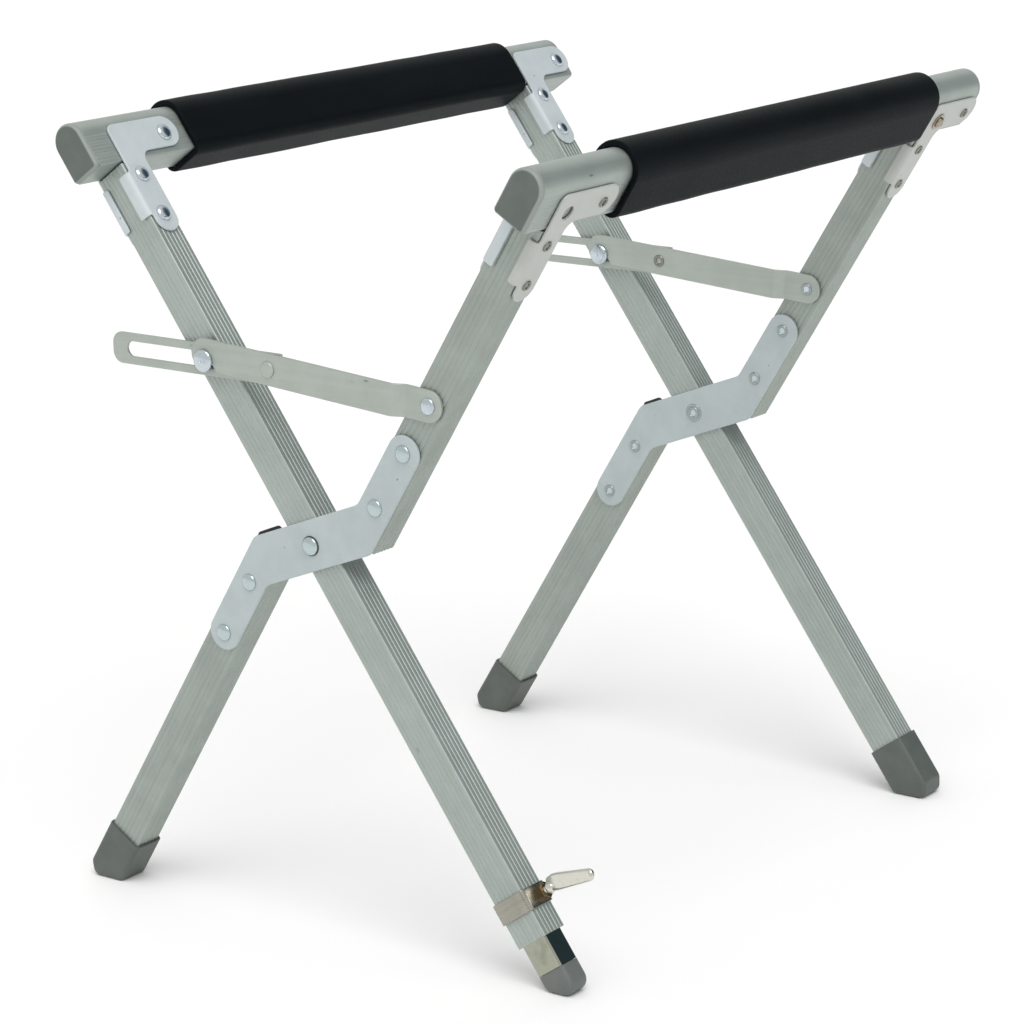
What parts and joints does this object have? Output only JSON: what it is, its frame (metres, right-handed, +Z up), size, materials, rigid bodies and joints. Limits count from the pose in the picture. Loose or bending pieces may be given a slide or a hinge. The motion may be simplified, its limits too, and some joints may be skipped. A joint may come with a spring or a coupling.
{
  "type": "folding sawhorse",
  "caption": "Folding work stand with two foam-padded rails on crossed tube legs, hooked lock arms at both sides and one screw-clamped extending foot.",
  "frame": {"origin": "centre of the footprint on the floor, half way between the ends of the rails", "axes": "+Z up; +Y along the rails, away from the extending foot; +X across the stand, towards the rail whose legs are made in two halves"},
  "size_m": [0.4274, 0.5466, 0.5466],
  "materials": {
    "aluminium_profile": "satin anodised extrusion with fine grooves",
    "link_steel": "satin pressed strip",
    "foam": "satin closed-cell foam skin",
    "rail_cap_plastic": "moulded dark grey",
    "bracket_paint": "pale grey paint over pressed steel",
    "zinc_steel": "bright zinc plate",
    "yellow_zinc": "yellow passivated screw",
    "black_plastic": "moulded black",
    "boot_plastic": "moulded grey-green, satin",
    "chrome": "bright plated tube",
    "band_steel": "brushed, slightly brown zinc"
  },
  "bodies": {
    "frame_a": {"rail_a": "aluminium_profile", "foam_sleeve_a": "foam", "rail_cap_a_near": "rail_cap_plastic", "rail_cap_a_far": "rail_cap_plastic", "leg_a_near": "aluminium_profile", "bracket_a_near_inner": "bracket_paint", "bracket_a_near_outer": "bracket_paint", "rail_rivet_a_near": "zinc_steel", "leg_a_far": "aluminium_profile", "bracket_a_far_inner": "bracket_paint", "bracket_a_far_outer": "bracket_paint", "rail_rivet_a_far": "zinc_steel", "boot_a_far": "boot_plastic", "clamp_band": "band_steel"},
    "frame_b": {"rail_b": "aluminium_profile", "foam_sleeve_b": "foam", "rail_cap_b_near": "rail_cap_plastic", "rail_cap_b_far": "rail_cap_plastic", "upper_leg_b_near": "aluminium_profile", "lower_leg_b_near": "aluminium_profile", "leg_plug_b_near": "black_plastic", "boot_b_near": "boot_plastic", "bracket_b_near_inner": "bracket_paint", "bracket_b_near_outer": "bracket_paint", "rail_rivet_b_near": "zinc_steel", "pivot_plate_near_front": "bracket_paint", "pivot_plate_near_back": "bracket_paint", "plate_rivet_near_upper_1": "bracket_paint", "plate_rivet_near_upper_2": "bracket_paint", "plate_rivet_near_lower_1": "bracket_paint", "plate_rivet_near_lower_2": "bracket_paint", "pivot_rivet_near": "bracket_paint", "arm_pivot_rivet_near": "zinc_steel", "upper_leg_b_far": "aluminium_profile", "lower_leg_b_far": "aluminium_profile", "leg_plug_b_far": "black_plastic", "boot_b_far": "boot_plastic", "bracket_b_far_inner": "bracket_paint", "bracket_b_far_outer": "bracket_paint", "rail_rivet_b_far": "zinc_steel", "pivot_plate_far_front": "bracket_paint", "pivot_plate_far_back": "bracket_paint", "plate_rivet_far_upper_1": "bracket_paint", "plate_rivet_far_upper_2": "bracket_paint", "plate_rivet_far_lower_1": "bracket_paint", "plate_rivet_far_lower_2": "bracket_paint", "pivot_rivet_far": "bracket_paint", "arm_pivot_rivet_far": "zinc_steel", "rail_screw_b_far": "yellow_zinc"},
    "arm_near": {"lock_arm_near": "link_steel", "link_rivet_near": "zinc_steel"},
    "stud_near": {"lock_stud_near": "zinc_steel"},
    "bar_near": {"slotted_bar_near": "link_steel"},
    "arm_far": {"lock_arm_far": "link_steel", "link_rivet_far": "zinc_steel"},
    "stud_far": {"lock_stud_far": "zinc_steel"},
    "bar_far": {"slotted_bar_far": "link_steel"},
    "foot_extension": {"extension_tube": "chrome", "foot_cap": "rail_cap_plastic"},
    "thumb_screw": {"thumb_screw": "zinc_steel"}
  },
  "joints": [
    {"name": "fold", "type": "hinge", "parent": "frame_a", "child": "frame_b", "pos_m": [0.0026, 0, 0.274], "axis": [0, -1, 0], "range_deg": [0, 65]},
    {"name": "lock_arm_near_hinge", "type": "hinge", "parent": "frame_b", "child": "arm_near", "pos_m": [0.1027, -0.25775, 0.37919], "axis": [0, -1, 0], "range_deg": [-85.2, 0]},
    {"name": "lock_stud_near_hinge", "type": "hinge", "parent": "frame_a", "child": "stud_near", "pos_m": [-0.07963, -0.25775, 0.39014], "axis": [0, -1, 0], "range_deg": [0, 140.3]},
    {"name": "slotted_bar_near_slide", "type": "slide", "parent": "stud_near", "child": "bar_near", "axis": [1, 0, -0.0053], "range_m": [0, 0.0586]},
    {"name": "lock_arm_far_hinge", "type": "hinge", "parent": "frame_b", "child": "arm_far", "pos_m": [0.1027, 0.20025, 0.37919], "axis": [0, -1, 0], "range_deg": [-85.2, 0]},
    {"name": "lock_stud_far_hinge", "type": "hinge", "parent": "frame_a", "child": "stud_far", "pos_m": [-0.07963, 0.20025, 0.39014], "axis": [0, -1, 0], "range_deg": [0, 140.3]},
    {"name": "slotted_bar_far_slide", "type": "slide", "parent": "stud_far", "child": "bar_far", "axis": [1, 0, -0.0053], "range_m": [0, 0.0586]},
    {"name": "foot_slide", "type": "slide", "parent": "frame_a", "child": "foot_extension", "axis": [0.5779, 0, -0.8161], "range_m": [-0.019, 0.045]},
    {"name": "thumb_screw_hinge", "type": "hinge", "parent": "frame_a", "child": "thumb_screw", "pos_m": [0.17509, -0.23455, 0.065], "axis": [0.8161, 0, 0.5779], "range_deg": [-180, 180]}
  ],
  "couplings": [
    {"joint": "lock_arm_near_hinge", "follows": "fold", "ratio": -1.31},
    {"joint": "lock_stud_near_hinge", "follows": "fold", "ratio": 2.158},
    {"joint": "slotted_bar_near_slide", "follows": "fold", "m_per_rad": 0.05156},
    {"joint": "lock_arm_far_hinge", "follows": "fold", "ratio": -1.31},
    {"joint": "lock_stud_far_hinge", "follows": "fold", "ratio": 2.158},
    {"joint": "slotted_bar_far_slide", "follows": "fold", "m_per_rad": 0.05156}
  ]
}
